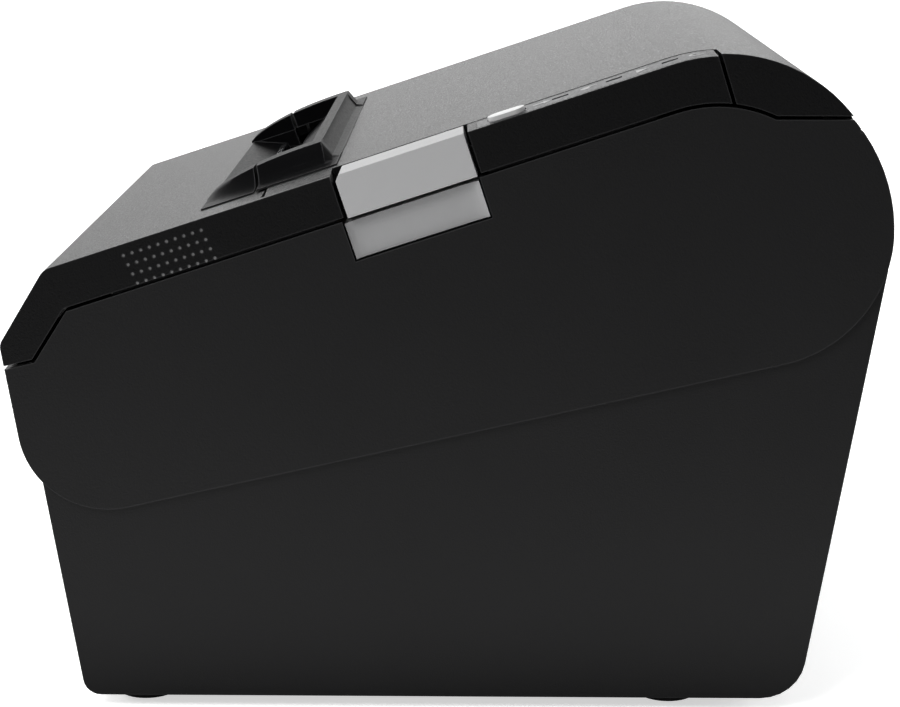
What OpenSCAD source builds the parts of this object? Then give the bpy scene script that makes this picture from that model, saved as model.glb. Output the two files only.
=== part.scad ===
// Clamshell thermal receipt printer, as an assembly of its separate pieces.
// Millimetres. Z is up, the front faces -Y and +X is the user's right-hand side.
// The origin is the middle of the footprint, on the surface that the printer stands on.
// Side outlines are drawn in (y, z). The print mechanism is drawn in (s, h): s runs up the
// sloped top from its front edge and h is the height above it.

/* [Casing] */
// Width of the casing, left to right
body_w = 145; // [142:1:150]
// Thickness of the plastic shells
wall = 2.2; // [1.8:0.1:2.4]
// Open line between neighbouring covers
seam_gap = 0.8; // [0.6:0.1:1]
// Slope of the top, in degrees
top_slope = 18.2; // [17.8:0.1:18.6]
// Height of the sharp front edge of the top
front_edge_z = 101.6; // [101:0.1:102.2]
// Radius of the rounded rear of the top
rear_arc_r = 38; // [37:0.5:39]
// Depth of the skirt that hangs round the top covers
skirt_h = 9.7; // [9.2:0.1:10.2]
// How far the lower case is set in from the upper one, on each side
lower_inset = 1; // [0.6:0.1:1.2]
// Radius of a rubber foot
foot_r = 8; // [6:0.5:9]

/* [Paper] */
// Largest diameter of the paper roll
roll_d = 83; // [60:1:83]
// Width of the paper
paper_w = 80; // [76:1:80]

/* [Print mechanism] */
// Radius of the rubber on the platen
platen_r = 6; // [5.6:0.1:6]
// Tooth size of the feed gears
feed_module = 0.7; // [0.7:0.1:0.7]
// Tooth size of the cutter's gears
cutter_module = 0.6; // [0.6:0.1:0.6]

/* [Controls] */
// Width of the strip on the right that holds the lever and the panel
strip_w = 8.7; // [8.2:0.1:9]
// Height that the feed button stands above its panel
button_proud = 0.7; // [0.5:0.1:1]

/* [Hidden] */

$fn = 48;
half_w = body_w / 2;
front_edge_y = -85.8;
arc_steps = 12;

// Places on the sloped top, in (y, z).
function on(s, h) = [front_edge_y + s * cos(top_slope) - h * sin(top_slope),
    front_edge_z + s * sin(top_slope) + h * cos(top_slope)];
function top_at(y) = front_edge_z + (y - front_edge_y) * tan(top_slope);

// Outline of a polygon whose corners are rounded, each with its own radius.
function unit(v) = v / norm(v);
function turn(a) = a > 180 ? a - 360 : a < -180 ? a + 360 : a;
function corner(before, p, after, r) =
    let (u = unit(before - p), v = unit(after - p), half = acos(u * v) / 2)
    let (c = p + unit(u + v) * r / sin(half), reach = r / tan(half))
    let (from = p + u * reach - c, to = p + v * reach - c)
    let (start = atan2(from.y, from.x), sweep = turn(atan2(to.y, to.x) - start))
    r == 0 ? [p] : arc(c, r, start, start + sweep, r > 10 ? 2 * arc_steps : arc_steps / 2);
function arc(c, r, a, b, steps = arc_steps) =
    [for (i = [0 : steps]) let (t = a + (b - a) * i / steps) c + r * [cos(t), sin(t)]];
function rounded(pts, radii) =
    let (n = len(pts))
    [for (i = [0 : n - 1]) each corner(pts[(i + n - 1) % n], pts[i], pts[(i + 1) % n], radii[i])];

// A side outline in (y, z) drawn out along x.
module across(from, to) translate([from, 0, 0]) rotate([90, 0, 90])
    linear_extrude(to - from) children();
module both_sides(from, to) {
    across(from, to) children();
    across(-to, -from) children();
}
// Children are drawn in (x, s, h).
module slope_frame() translate([0, front_edge_y, front_edge_z]) rotate([top_slope, 0, 0])
    children();
module slope_across(from, to) slope_frame() across(from, to) children();
module block(lo, hi) translate(lo) cube(hi - lo);
module rod(from, to, r) translate([from, 0, 0]) rotate([0, 90, 0]) cylinder(r = r, h = to - from);
module rod_at(p, from, to, r) translate([0, p.x, p.y]) rod(from, to, r);
module tube_at(p, from, to, r, bore) difference() {
    rod_at(p, from, to, r);
    rod_at(p, from - 1, to + 1, bore);
}

// ---------- side outlines of the casing ----------
rear_y = 96;
nose = [-96.12, 85];
belly_slope = 13;
function belly_at(y) = 64.6 + (y - 1.6) * tan(belly_slope);
chin = [-90, belly_at(-90)];
rear_centre = [rear_y - rear_arc_r, 109];
body_outline = rounded([nose, [front_edge_y, front_edge_z], [rear_y, top_at(rear_y)],
    [rear_y, belly_at(rear_y)], chin], [3, 4, rear_arc_r, 29, 19]);

floor_z = 3;
function lower_front_y(z) = -81.06 - 0.1464 * (z - floor_z);
function lower_rear_y(z) = 80.2 + 0.153 * (z - floor_z);
lower_top = 108;
lower_outline = rounded([[lower_front_y(floor_z), floor_z], [lower_rear_y(floor_z), floor_z],
    [lower_rear_y(lower_top), lower_top], [lower_front_y(lower_top), lower_top]], [4, 10, 0, 0]);

// The lid turns on two short pins just inside the rounded rear.
hinge_dir = 40.5;
knuckle_r = 2.4;
hinge_clear_r = 3.2;
hinge_pin_r = 1;
hinge = rear_centre + (rear_arc_r - knuckle_r) * [cos(hinge_dir), sin(hinge_dir)];
ear_in = 50;
ear_out = 54;

rear_seam_z = 134.6;
seam_arc_r = rear_arc_r - skirt_h;
seam_end = asin((rear_seam_z - rear_centre.y) / seam_arc_r);
seam_line = concat([[-120, 79.2], [-94.9, 79.9], [-88.9, 81.4], on(1.3, -skirt_h)],
    arc(rear_centre, seam_arc_r, 90 + top_slope, seam_end), [[120, rear_seam_z]]);

// The lid stands a little higher than the front cover and is rounded a little more tightly.
lid_rise = [0.1, 0.8];
lid_rear_y = rear_y - 2;
lid_arc_r = rear_arc_r - 3;
lid_front = [front_edge_y, front_edge_z + lid_rise[0]];
lid_back = [lid_rear_y, top_at(lid_rear_y) + lid_rise[1]];
lid_slope = atan2(lid_back.y - lid_front.y, lid_back.x - lid_front.x);
lid_centre = [lid_rear_y - lid_arc_r, lid_back.y - lid_arc_r * (tan(lid_slope) + 1 / cos(lid_slope))];
lid_outline = rounded([nose, lid_front, lid_back, [lid_rear_y, belly_at(lid_rear_y)], chin],
    [3, 4, lid_arc_r, 29, 19]);
lid_base_h = 0.36;

module body_side() polygon(body_outline);
module lid_body() polygon(lid_outline);
module body_inner() offset(delta = -wall) body_side();
module under_seam(d) offset(delta = d) polygon(concat(seam_line, [[120, -20], [-120, -20]]));
module lower_side() polygon(lower_outline);
module hinge_circle(r) translate(hinge) circle(r);

// ---------- lengths up the slope ----------
split_s = 49.4;          // split between the front cover and the lid
lever_s = [66, 95];      // the opening lever
panel_end_s = 150.4;     // rear end of the control panel
strip_x = half_w - strip_w;
lid_right_x = strip_x - 0.9;
scoop_s = [64.9, 94.9];
scoop_h = [-18.7, -skirt_h - 1];
// Print mechanism: the nip between head and platen is just behind the paper slot.
platen = [57.5, -18];
platen_shaft_r = 2.5;
bush_r = 4;
head_pivot = [48.2, -38];
latch_pivot = [39.3, -41];
plate_x = [46, 47.5];
frame_s = [28, 72];
frame_h = [-50, -12.5];
head_face_s = platen.x - platen_r - 0.08;
cutter_rest_h = -11.05;
frame_post = [36, 35];
module slope_band(s0, s1) polygon([on(s0, 40), on(s1, 40), on(s1, -60), on(s0, -60)]);

// ---------- casing ----------
belly_line_top = [[-110, 54], [-80, 54], [-76, belly_at(-76) + 4], [62, belly_at(62) + 4],
    [84, 102], [110, 102]];
module lower_shape() intersection() {
    lower_side();
    polygon(concat(belly_line_top, [[110, -10], [-110, -10]]));
}
port_low = 9;
port_high = 42;
port_half = 57;
foot_x = half_w - 13;
foot_ys = [-68.5, 51.4];
frame_post_y = on(frame_post.y, frame_h[0]).x;
board_z = 13;
board_posts = [[-53, -52], [53, -52], [-53, 46], [53, 46]];
bucket_feet_x = 34;
bucket_feet_y = [14, 46];
corner_bosses = [[-63, -48], [63, -48], [-63, 66], [63, 66]];
boss_r = 4;
post_r = 3;
tap_r = 1.27;            // hole that a thread cuts into
lip_t = 1.4;             // the lower case's wall is stepped back this much round the upper case
case_clear = 0.25;       // gap between the two cases

module bottom_case() color([0.09, 0.09, 0.1]) {
    skin = half_w - lower_inset;
    difference() {
        union() {
            both_sides(skin - lip_t, skin) difference() {
                lower_shape();
                offset(delta = case_clear) body_side();
            }
            both_sides(skin - 2 * lip_t, skin - lip_t) lower_shape();
            across(lip_t - skin, skin - lip_t) difference() {
                lower_shape();
                offset(delta = -wall) lower_side();
            }
            for (p = board_posts) translate([p.x, p.y, floor_z + 1])
                cylinder(r = post_r, h = board_z - floor_z - 1);
            for (p = corner_bosses) translate([p.x, p.y, floor_z + 1]) cylinder(r = boss_r, h = 22);
            for (side = [-1, 1]) translate([side * frame_post.x, frame_post_y, floor_z + 1])
                cylinder(r = boss_r, h = 70);
        }
        slope_frame() {
            block([-60, 10, frame_h[0] - 0.02], [60, 50, -20]);
            for (side = [-1, 1]) translate([side * frame_post.x, frame_post.y, frame_h[0] - 10])
                cylinder(r = 1.52, h = 20);
        }
        block([-port_half, 60, port_low], [port_half, 100, port_high]);
        for (x = [-foot_x, foot_x], y = foot_ys) translate([x, y, floor_z - 1])
            cylinder(r = foot_r + 0.1, h = 2);
        for (p = corner_bosses) translate([p.x, p.y, 0]) {
            cylinder(r = 1.8, h = 40);
            cylinder(r = 3.4, h = 6);
        }
        for (p = board_posts) translate([p.x, p.y, 5.5]) cylinder(r = tap_r, h = 20);
    }
}

module case_side() intersection() {
    body_side();
    under_seam(-seam_gap / 2);
}
// Space that the lid's rear tip swings through, beyond the side walls' line to the hinge.
module tip_path() difference() {
    polygon([hinge, hinge + [-0.4, 8], hinge + [8, 8], hinge + [8, -2]]);
    hinge_circle(knuckle_r + 0.3);
}
module hinge_ear() intersection() {
    body_side();
    union() {
        hinge_circle(knuckle_r);
        polygon([hinge + [-2.4, 0], hinge + [2.2, 0], [92, 124], [84, 119], [80, 124]]);
    }
}
module upper_case() color([0.09, 0.09, 0.1]) {
    difference() {
        union() {
            across(-half_w, half_w) difference() {
                case_side();
                body_inner();
                offset(delta = case_clear) lower_shape();
                hinge_circle(hinge_clear_r);
            }
            both_sides(half_w - wall, half_w) difference() {
                case_side();
                tip_path();
            }
            both_sides(ear_in, ear_out) hinge_ear();
            // decks at either side of the roll bucket
            slope_across(-half_w + wall - 0.2, -45) polygon(deck_outline);
            slope_across(45, strip_x - 8.2) polygon(deck_outline);
            slope_across(strip_x - 9, half_w - wall + 0.2) polygon(rear_deck_outline);
            for (p = corner_bosses) translate([p.x, p.y, 0]) boss_above(p);
        }
        slope_frame() block([half_w - 5, scoop_s[0] - 0.4, scoop_h[0] - 0.4],
            [half_w + 5, scoop_s[1] + 0.4, 0]);
        both_sides(ear_in - 1, ear_out + 1) hinge_circle(hinge_pin_r + 0.02);
        for (p = corner_bosses) translate([p.x, p.y, boss_joint_z]) cylinder(r = tap_r, h = 14);
    }
}
deck_outline = [[73, -16], [120, -16], [120, -14], [73, -14]];
rear_deck_outline = [[98, -16], [120, -16], [120, -14], [98, -14]];
// A screw pillar that reaches up from the lower boss and is tied to the side wall.
boss_joint_z = 26;
module boss_above(p) {
    top = belly_at(p.y) + 13;
    translate([0, 0, boss_joint_z]) cylinder(r = boss_r, h = top - boss_joint_z);
    mirror([p.x > 0 ? 0 : 1, 0, 0])
        block([0, -1.2, top - 5], [half_w - wall / 2 - abs(p.x), 1.2, top]);
}

module cover_side() difference() {
    body_side();
    under_seam(seam_gap / 2);
}
module cover_ring() difference() {
    cover_side();
    body_inner();
}
module lid_side() difference() {
    lid_body();
    under_seam(seam_gap / 2);
}
module lid_ring() difference() {
    lid_side();
    offset(delta = -wall) lid_body();
}
// Everything above the strip along the right-hand edge, whose top leans outwards. The cut has
// one flat for the slope and one for each flat of the rounded rear.
edge_drop = 0.45;
crease_x = strip_x - 0.5;
lid_rim = arc(lid_centre, lid_arc_r, 90 + lid_slope, 0, 2 * arc_steps);
module strip_flat(from, to, start, over) {
    run = to - from;
    translate([0, from.x, from.y]) rotate([atan2(run.y, run.x), 0, 0])
        translate([crease_x, 0, 0]) rotate([0, atan(edge_drop / strip_w), 0])
            block([0, start, 0], [12, norm(run) + over, 3]);
}
module above_strip() {
    strip_flat(lid_front, lid_rim[0], 45, 1);
    for (k = [0 : 2 * arc_steps - 4]) strip_flat(lid_rim[k], lid_rim[k + 1], -1, 1);
}

hole_cols = 10;
hole_rows = 4;
hole_corner = [17.6, -2.4];
module front_cover() color([0.1, 0.1, 0.11]) difference() {
    union() {
        across(-half_w, half_w) intersection() {
            cover_ring();
            slope_band(-40, split_s);
        }
        across(-half_w, -half_w + wall) intersection() {
            cover_side();
            slope_band(-40, split_s);
        }
        across(half_w - wall, half_w) intersection() {
            cover_side();
            slope_band(-40, lever_s[0] - 0.9);
        }
    }
    slope_frame() block([-45, 34.6, -20], [45, 60, 8]);
    slope_frame() for (i = [0 : hole_cols - 1], j = [0 : hole_rows - 1])
        translate([0, hole_corner.x + 1.97 * i + 0.25 * j, hole_corner.y - 2.2 * j])
            rod(half_w - wall - 1, half_w + 1, 0.36);
}

// ---------- exit collar, gloss black ----------
collar_out = 48;
collar_in = 42;
flare_w = 12;
rail_s = [34, 46.6];
collar_top = 4.9;
// Height of the rails: a convex rise to the bar at the rear, then a quick fall.
function rise(s) = s < 34 ? 0 : s < 61 ? collar_top * sin(90 * pow((s - 34) / 27, 0.62))
    : s <= 63 ? collar_top : max(0, collar_top * pow(1 - (s - 63) / 3, 2));
function flare(x) = abs(x) <= collar_out ? 1
    : pow(max(0, 1 - (abs(x) - collar_out) / flare_w), 2.6);
function steps(a, b, n) = [for (i = [0 : n]) a + (b - a) * i / n];

// A closed slab over a grid of (x, s), from a flat base to the height that rise and flare give.
module rail_slab(xs, ss, base) {
    nx = len(xs);
    ns = len(ss);
    tops = [for (s = ss, x = xs) [x, s, max(base + 0.3, rise(s) * flare(x))]];
    bases = [for (s = ss, x = xs) [x, s, base]];
    n = nx * ns;
    tiles = [for (j = [0 : ns - 2], i = [0 : nx - 2]) [j * nx + i, j * nx + i + 1,
        (j + 1) * nx + i + 1, (j + 1) * nx + i]];
    low = [for (t = tiles) [t[0] + n, t[1] + n, t[2] + n, t[3] + n]];
    high = [for (t = tiles) [t[3], t[2], t[1], t[0]]];
    near = [for (i = [0 : nx - 2]) [i, i + 1, i + 1 + n, i + n]];
    far = [for (i = [0 : nx - 2]) let (k = n - nx + i) [k + n, k + 1 + n, k + 1, k]];
    left = [for (j = [0 : ns - 2]) let (k = j * nx) [k + n, k + nx + n, k + nx, k]];
    right = [for (j = [0 : ns - 2]) let (k = j * nx + nx - 1) [k, k + nx, k + nx + n, k + n]];
    polyhedron(concat(tops, bases), concat(low, high, near, far, left, right), convexity = 6);
}
rail_xs = concat([collar_in, collar_out], steps(collar_out + 1, collar_out + flare_w, 8));
module rails(ss, base) for (side = [0, 1]) mirror([side, 0, 0]) rail_slab(rail_xs, ss, base);

module collar_front() color([0.05, 0.05, 0.06]) slope_frame() {
    rails(steps(34.4, 46.6, 8), 0.02);
    difference() {
        across(-44.6, 44.6) polygon([[35, 0.3], [43.5, -3], [43.5, -4.6], [42, -4.6], [35, -2.2]]);
        block([-39, 42.4, -3.6], [39, 44, -2.4]);
    }
    both_sides(collar_in, 44.6) polygon([[35, 0], [46.6, 0], [46.6, -4.6], [35, -2]]);
}
module tear_bar() color([0.8, 0.8, 0.82]) slope_across(-38.9, 38.9)
    polygon([[42.45, -3.5], [43.7, -3.5], [43.9, -2.5], [42.45, -2.5]]);
module collar_rear() color([0.05, 0.05, 0.06]) slope_frame() {
    rails(steps(47.4, 66, 12), lid_base_h);
    across(-collar_in - 0.1, collar_in + 0.1) polygon([[49.4, -2.4], [56, 1], [60.4, collar_top],
        [63, collar_top], [63.2, 3.4], [64.2, 1], [66, lid_base_h + 0.1], [66, lid_base_h],
        [59.2, lid_base_h], [59.2, -2.1], [53, -4.4], [49.4, -4.6]]);
}

// ---------- lid ----------
module lid_band(from) intersection() {
    lid_ring();
    slope_band(from, 400);
}
module lid_cover() color([0.12, 0.12, 0.13]) difference() {
    union() {
        across(-half_w, lid_right_x) lid_band(split_s + seam_gap);
        across(lid_right_x - 1, half_w - wall - 0.5) intersection() {
            lid_band(split_s + seam_gap);
            slope_band(0, lever_s[0] - 0.9);
        }
        across(lid_right_x - 1, half_w) lid_band(panel_end_s + 0.8);
        across(-half_w, -half_w + wall) intersection() {
            lid_side();
            slope_band(split_s + seam_gap, 400);
        }
        across(half_w - wall, half_w) intersection() {
            lid_side();
            slope_band(panel_end_s + 0.8, 400);
        }
        across(lid_right_x - 2, lid_right_x) intersection() {
            lid_side();
            slope_band(lever_s[0] - 2.9, panel_end_s + 0.8);
        }
        across(0.6 + wall - half_w, half_w - wall - 0.6) knuckle_side();
    }
    slope_frame() block([-collar_in - 2.6, 40, -20], [collar_in + 2.6, 59.4, 8]);
    both_sides(ear_in - 0.5, ear_out + 0.5) hinge_circle(hinge_clear_r);
    both_sides(40, 60) hinge_circle(hinge_pin_r + 0.06);
    above_strip();
}
module knuckle_side() intersection() {
    lid_body();
    union() {
        hinge_circle(knuckle_r);
        polygon([hinge + [-1.6, 1], hinge + [2, 1], hinge + [0, 4.4], hinge + [-2.2, 4.4]]);
    }
}
module hinge_pins() color([0.75, 0.75, 0.77])
    for (side = [-1, 1]) rod_at(hinge, side * 52 - 6, side * 52 + 6, hinge_pin_r);

liner_h = [-10.4, -8.6];
module lid_liner() color([0.16, 0.16, 0.17]) slope_frame() {
    across(-40.5, 40.5) polygon([[65.6, -24], [67, -24], [70, liner_h[0]], [148, liner_h[0]],
        [152, -14], [153.6, -13], [149, liner_h[1]], [66.6, liner_h[1]], [65.6, -10.5]]);
    for (x = [-39, 0, 39]) across(x - 1, x + 1)
        polygon([[68, liner_h[1] - 0.5], [146, liner_h[1] - 0.5], [138, -2.4], [68, -2.4]]);
}

// ---------- control strip ----------
module strip_slice(s0, s1) intersection() {
    lid_side();
    slope_band(s0, s1);
}
button_s = 104.7;
button_x = strip_x + 3.6;
button_r = 2.5;
button_len = 3.2;
module button_shape(r) {
    for (end = [-1, 1]) translate([button_x, button_s + end * button_len / 2]) circle(r);
    translate([button_x - r, button_s - button_len / 2]) square([2 * r, button_len]);
}
led_ss = [116.6, 128.5, 140.8];
led_size = [1.4, 3.6];
module control_panel() color([0.09, 0.09, 0.1]) difference() {
    union() {
        across(strip_x, half_w) intersection() {
            lid_ring();
            slope_band(lever_s[1] + 0.9, panel_end_s);
        }
        across(half_w - wall, half_w) strip_slice(lever_s[1] + 0.9, panel_end_s);
        across(strip_x, half_w) strip_slice(lever_s[1] + 0.9, lever_s[1] + 0.9 + 1.6);
        across(strip_x, half_w) strip_slice(panel_end_s - 1.6, panel_end_s);
        lever_ear();
    }
    panel_cuts();
    across(overlay_x[0], overlay_x[1]) overlay_band(0, 3);
    above_strip();
}
module panel_cuts() slope_frame() translate([0, 0, -4]) linear_extrude(8) {
    button_shape(button_r + 0.25);
    for (s = led_ss) translate([button_x, s]) square([led_size.x, led_size.y], center = true);
}
overlay_s = [98, 148.6];
overlay_t = 0.9;
overlay_x = [strip_x + 0.8, half_w - 1.3];
module overlay_band(inset, over) intersection() {
    difference() {
        offset(delta = over) lid_body();
        offset(delta = -overlay_t) lid_body();
    }
    slope_band(overlay_s[0] + inset, overlay_s[1] - inset);
}
module panel_overlay() color([0.35, 0.35, 0.37]) difference() {
    across(overlay_x[0] + 0.05, overlay_x[1] - 0.05) overlay_band(0.05, 0);
    panel_cuts();
    above_strip();
}
control_board_s = [98.2, 146];
control_board_h = [-6.4, -5.2];
module control_board() color([0.1, 0.35, 0.2]) slope_frame() {
    block([strip_x + 0.3, control_board_s[0], control_board_h[0]],
        [half_w - wall - 0.3, control_board_s[1], control_board_h[1]]);
    block([button_x - 2, button_s - 2, control_board_h[1]], [button_x + 2, button_s + 2, -3.9]);
    for (s = led_ss)
        block([button_x - 0.6, s - 0.8, control_board_h[1]], [button_x + 0.6, s + 0.8, -4]);
}
module feed_button() color([0.75, 0.75, 0.75]) slope_frame() {
    translate([0, 0, -2.6]) linear_extrude(2.9 + button_proud) button_shape(button_r);
    translate([0, 0, -2.9]) linear_extrude(0.4) button_shape(button_r + 0.15);
}

// ---------- opening lever and its finger scoop ----------
lever_pivot = [89.5, -5.4];
lever_pin_r = 1.2;
lever_x = [strip_x, half_w];
ear_x = [strip_x + 2.6, strip_x + 4.8];
module lever_side() polygon([[lever_s[0], -1.4], [lever_s[0] + 1.8, 0.7], [lever_s[1], 0.7],
    [lever_s[1], -skirt_h], [lever_s[0], -skirt_h]]);
module open_lever() color([0.72, 0.72, 0.73]) difference() {
    slope_frame() lever_body();
    above_strip();
}
module lever_body() difference() {
    union() {
        difference() {
            across(lever_x[0], lever_x[1]) lever_side();
            block([lever_x[0] + 1.4, lever_s[0] + 2, -12], [half_w - 2, lever_s[1] - 1.6, -2]);
            // room for the fixed ear that carries the pin
            block([ear_x[0] - 0.4, 80, -12], [ear_x[1] + 0.4, 100, -2]);
        }
        // arm that reaches inwards and down to the latch
        across(lever_x[0], lever_x[0] + 1.4) polygon([[78, -9], [78, -14.4], [88, -14.4], [88, -9]]);
        block([arm_x[0], 78, -14.4], [lever_x[0] + 1.4, 88, -11.4]);
        across(arm_x[0], arm_x[1]) polygon([[88, -11.4], [78, -11.4], [56, -22], [46, -22],
            [46, -36], [48.4, -36], [48.4, -25], [56.6, -25], [79, -14.4], [88, -14.4]]);
    }
    rod_at(lever_pivot, lever_x[0] - 1, half_w - 1, lever_pin_r);
}
arm_x = [56.8, 59.2];
module lever_pin() color([0.75, 0.75, 0.77]) slope_frame()
    rod_at(lever_pivot, lever_x[0] + 0.1, half_w - 1.1, lever_pin_r);
// Ear on the front of the control panel, which the lever's pin turns in.
module lever_ear() slope_frame() difference() {
    across(ear_x[0], ear_x[1]) union() {
        translate(lever_pivot) circle(2.3);
        translate(lever_pivot + [0, -2.2]) square([8.4, 4.2]);
    }
    rod_at(lever_pivot, 60, 80, lever_pin_r + 0.05);
}
module lever_scoop() color([0.55, 0.55, 0.56]) slope_frame() difference() {
    block([half_w - 7, scoop_s[0], scoop_h[0]], [half_w - 0.3, scoop_s[1], scoop_h[1]]);
    translate([0, scoop_s[0] + 1.4, -skirt_h + 1.5]) rotate([-90, 0, 0])
        translate([half_w + 4.8, 0, 0]) cylinder(r = 10.2, h = scoop_s[1] - scoop_s[0] - 2.8);
}

// ---------- paper roll bay ----------
roll_centre = [38, 86];
bucket_r = roll_d / 2 + 1.5;
bucket_half = paper_w / 2 + 1;
bucket_wall = 2;
module bucket_area(r) union() {
    translate(roll_centre) circle(r);
    polygon([roll_centre + [-r, 0], roll_centre + [-r, 14], roll_centre + [r, 24],
        roll_centre + [r, 0]]);
}
module below_lid() polygon([[-40, -20], [-40, 92], on(52, -27), on(56.6, -27), on(60, -14),
    on(128, -14), on(150, -20), [88, 112], [100, 60], [100, -20]]);
module roll_bucket() color([0.11, 0.11, 0.12]) {
    across(-bucket_half - bucket_wall, bucket_half + bucket_wall) intersection() {
        below_lid();
        difference() {
            bucket_area(bucket_r + bucket_wall);
            bucket_area(bucket_r);
            translate(roll_centre + [-70, 14]) square([140, 60]);
        }
    }
    both_sides(bucket_half, bucket_half + bucket_wall) intersection() {
        below_lid();
        bucket_area(bucket_r + bucket_wall);
    }
    for (x = [-bucket_feet_x, bucket_feet_x], y = bucket_feet_y) translate([x, y, floor_z + wall])
        cylinder(r = 3.5, h = bucket_foot_top(y) - floor_z - wall);
}
function bucket_foot_top(y) = roll_centre.y - bucket_r
    - bucket_wall / 2 + pow(y - roll_centre.x, 2) / (2 * bucket_r);

// ---------- print mechanism, drawn in (s, h) ----------
feed_teeth = 19;
idler_small = 16;
idler_big = 50;
pinion_teeth = 20;
function polar(r, a) = r * [cos(a), sin(a)];
idler_dir = -93;
motor_dir = -101.5;
idler = platen + polar(feed_module * (feed_teeth + idler_small) / 2, idler_dir);
feed_motor_at = idler + polar(feed_module * (idler_big + pinion_teeth) / 2, motor_dir);

module mech_frame() color([0.66, 0.67, 0.69]) slope_frame() difference() {
    union() {
        both_sides(plate_x[0], plate_x[1]) polygon([[frame_s[0], frame_h[0]], [37, frame_h[0]],
            [39, -62], [frame_s[1], -62], [frame_s[1], -30], [67, -24], [64.5, frame_h[1]],
            [36.6, frame_h[1]], [35.6, cutter_rest_h], [frame_s[0], cutter_rest_h]]);
        block([-plate_x[0], frame_s[0], frame_h[0]], [plate_x[0], 38.4, frame_h[0] + 1.5]);
        block([-42, 30, frame_h[0]], [42, 31.5, -16.5]);
        for (x = spring_xs) translate([x, 31, spring_h]) rotate([-90, 0, 0])
            cylinder(r = 1.2, h = 7);
    }
    // open slots that the platen's bushes drop into
    both_sides(plate_x[0] - 1, plate_x[1] + 1) union() {
        translate(platen) circle(bush_r + 0.15);
        polygon([platen + [-bush_r - 0.15, 0], platen + [bush_r + 0.15, 0],
            platen + [bush_r + 1.6, 8], platen + [-bush_r - 1.2, 8]]);
    }
    both_sides(plate_x[0] - 1, plate_x[1] + 1) union() {
        translate(head_pivot) circle(1.52);
        translate(latch_pivot) circle(2.05);
    }
    rod_at(feed_motor_at, -60, -40, 5);
    rod_at(idler, -60, -40, 1.5);
    for (side = [-1, 1]) translate([side * frame_post.x, frame_post.y, frame_h[0] - 3])
        cylinder(r = 1.6, h = 8);
}
spring_h = -21;
spring_xs = [-26, 0, 26];
head_x = 41;
head_t = 1.6;
head_top_h = -13.4;
sink_s = [head_face_s - head_t - 3, head_face_s - head_t];
module print_head() color([0.25, 0.16, 0.12]) slope_frame()
    block([-head_x, head_face_s - head_t, -27], [head_x, head_face_s, head_top_h]);
module heat_sink() color([0.75, 0.76, 0.78]) slope_frame() difference() {
    union() {
        block([-head_x, sink_s[0], -34], [head_x, sink_s[1], head_top_h]);
        for (x = [-18, 18]) translate([x, 0, 0]) rod_at(head_pivot, -4, 4, 3.4);
        for (x = [-18, 18]) block([x - 4, sink_s[0], -38], [x + 4, sink_s[1], -33]);
        for (h = [-31.5, -28.5, -25.5])
            block([-head_x, sink_s[0] - 1.6, h], [head_x, sink_s[0], h + 1]);
    }
    rod_at(head_pivot, -50, 50, 1.56);
}
spring_turns = 4;
spring_band = concat(arc([0, 0], 3, 0, 120, 4), arc([0, 0], 2.2, 120, 0, 4));
module head_springs() color([0.8, 0.8, 0.82]) slope_frame()
    for (x = spring_xs) translate([x, sink_s[0] - 0.02, spring_h]) rotate([90, 0, 0])
        linear_extrude(13.2, twist = -360 * spring_turns, slices = 10 * spring_turns, $fn = 8)
            polygon(spring_band);
module head_pivot_pin() color([0.75, 0.75, 0.77]) slope_frame()
    rod_at(head_pivot, -48.5, 48.5, 1.5);
module latch_shaft() color([0.75, 0.75, 0.77]) slope_frame() {
    rod_at(latch_pivot, -48.5, 60.4, 2);
    difference() {
        across(56.8, 60.4) polygon([[latch_pivot.x - 3, latch_pivot.y],
            [latch_pivot.x + 3, latch_pivot.y], [44.5, -32], [44.5, -26.6], [41.6, -26.6],
            [41, -32]]);
        rod_at(latch_pivot, 50, 70, 2);
    }
}
module latch_hooks() color([0.6, 0.61, 0.63]) slope_frame() difference() {
    both_sides(43.4, 45.4) difference() {
        union() {
            translate(latch_pivot) circle(4.2);
            polygon([latch_pivot + [-4, 1], latch_pivot + [4, 0], latch_pivot + [3.6, 17],
                latch_pivot + [9, 24], platen + [2.2, 1], platen + [2.2, 6], platen + [0.2, 7.1],
                latch_pivot + [5, 30.1], latch_pivot + [-2, 23]]);
        }
        translate(platen) circle(bush_r + 0.2);
        translate(platen + [-bush_r - 0.2, -12]) square([14, 12]);
        translate(platen + [0.6, -12]) square([14, 15.6]);
    }
    rod_at(latch_pivot, -50, 50, 2);
}

// Involute gear with one tooth centred on the +s direction.
pressure = 20;
backlash = 0.2;
flank_steps = 4;
function inv(a) = tan(a) * 180 / PI - a;
function flank(teeth, m, k) =
    let (base = teeth * m / 2 * cos(pressure), root = teeth * m / 2 - 1.2 * m)
    let (tip = teeth * m / 2 + 0.92 * m, low = max(base, root))
    let (r = low + (tip - low) * k / flank_steps, half = 90 / teeth - backlash / m / teeth * 57.3)
    polar(r, half + inv(pressure) - inv(acos(min(1, base / r))));
function tooth(teeth, m) = let (root = teeth * m / 2 - 1.2 * m, foot = flank(teeth, m, 0))
    concat([polar(root, atan2(foot.y, foot.x))], [for (k = [0 : flank_steps]) flank(teeth, m, k)]);
function spin(p, a) = [p.x * cos(a) - p.y * sin(a), p.x * sin(a) + p.y * cos(a)];
function lower_flank(teeth, m) = [for (p = tooth(teeth, m)) [p.x, -p.y]];
function upper_flank(teeth, m) = let (t = tooth(teeth, m)) [for (i = [len(t) - 1 : -1 : 0]) t[i]];
module gear(teeth, m, angle) rotate(angle) polygon([for (k = [0 : teeth - 1])
    each [for (p = concat(lower_flank(teeth, m), upper_flank(teeth, m))) spin(p, 360 / teeth * k)]]);
module gear_at(p, from, to, teeth, m, angle) across(from, to) translate(p) gear(teeth, m, angle);

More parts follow.
